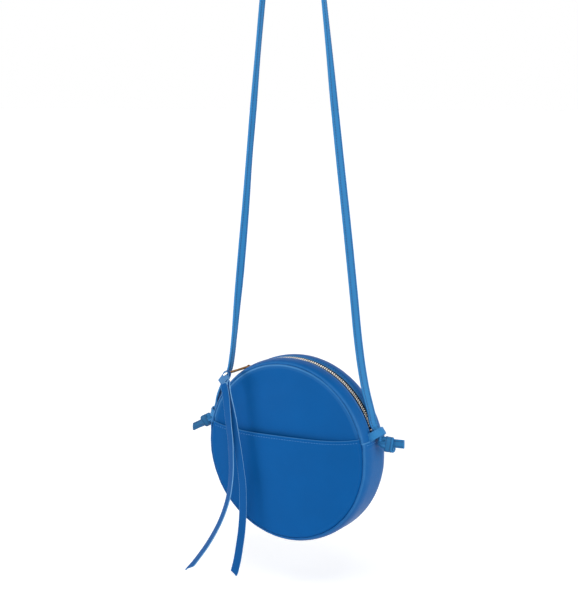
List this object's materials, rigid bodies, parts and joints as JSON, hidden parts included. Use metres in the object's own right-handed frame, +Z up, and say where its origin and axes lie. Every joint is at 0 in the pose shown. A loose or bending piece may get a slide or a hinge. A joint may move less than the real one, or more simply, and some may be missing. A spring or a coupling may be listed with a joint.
{
  "type": "circle bag",
  "caption": "Small round leather shoulder bag with a zip round its top, an outside slip pocket, a lace tassel on the zip puller and a long knotted strap.",
  "frame": {"origin": "top of the strap's bend, on its inner face, which lies on the shoulder or hook that the bag hangs from", "axes": "+Z up along the hanging strap, +X to the bag's right side as seen from its front, +Y to its back; the front panel with the pocket faces -Y"},
  "size_m": [0.252, 0.0676, 0.7475],
  "materials": {
    "bag_leather": "smooth cobalt blue leather with a soft satin sheen",
    "strap_leather": "cobalt blue leather strap, edge-stitched, with pale blue cut edges",
    "lace_leather": "cobalt blue leather lace with pale blue cut edges",
    "board": "stiffening board, hidden between leather and lining",
    "lining": "plain woven cotton lining",
    "zip_tape": "black woven zip tape",
    "zip_teeth": "pale polished brass teeth and stops",
    "puller_brass": "polished antique brass slider and puller"
  },
  "bodies": {
    "strap": {"strap_left": "strap_leather", "strap_right": "strap_leather", "strap_top": "strap_leather", "strap_knot_left": "strap_leather", "strap_knot_right": "strap_leather", "strap_end_left": "strap_leather", "strap_end_right": "strap_leather"},
    "bag": {"front_panel": "bag_leather", "front_pocket": "bag_leather", "back_panel": "bag_leather", "lower_gusset": "bag_leather", "zip_gusset_front": "bag_leather", "zip_gusset_back": "bag_leather", "front_board": "board", "back_board": "board", "front_lining": "lining", "back_lining": "lining", "gusset_lining": "lining", "zip_facing_front": "lining", "zip_facing_back": "lining", "zip_tape_front": "zip_tape", "zip_tape_back": "zip_tape", "zip_teeth_front": "zip_teeth", "zip_teeth_back": "zip_teeth", "zip_stops": "zip_teeth", "side_loop_left": "bag_leather", "side_loop_right": "bag_leather"},
    "slider": {"slider_body": "puller_brass", "slider_bridge": "puller_brass"},
    "puller": {"zip_puller": "puller_brass"},
    "tassel": {"lace_loop": "lace_leather", "lace_knot": "lace_leather", "lace_tail_left": "lace_leather", "lace_tail_right": "lace_leather"}
  },
  "joints": [
    {"name": "bag_swing", "type": "hinge", "parent": "strap", "child": "bag", "pos_m": [0, 0, -0.5755], "axis": [1, 0, 0], "range_deg": [-10, 10]},
    {"name": "zip_travel", "type": "hinge", "parent": "bag", "child": "slider", "pos_m": [0, 0, -0.6], "axis": [0, 1, 0], "range_deg": [-26, 84]},
    {"name": "puller_swing", "type": "hinge", "parent": "slider", "child": "puller", "pos_m": [-0.05696, 0, -0.52161], "axis": [-0.809, 0, -0.5878], "range_deg": [0, 22]},
    {"name": "tassel_swing", "type": "hinge", "parent": "puller", "child": "tassel", "pos_m": [-0.05696, -0.0393, -0.52161], "axis": [0, 1, 0], "range_deg": [-88, 30]}
  ]
}
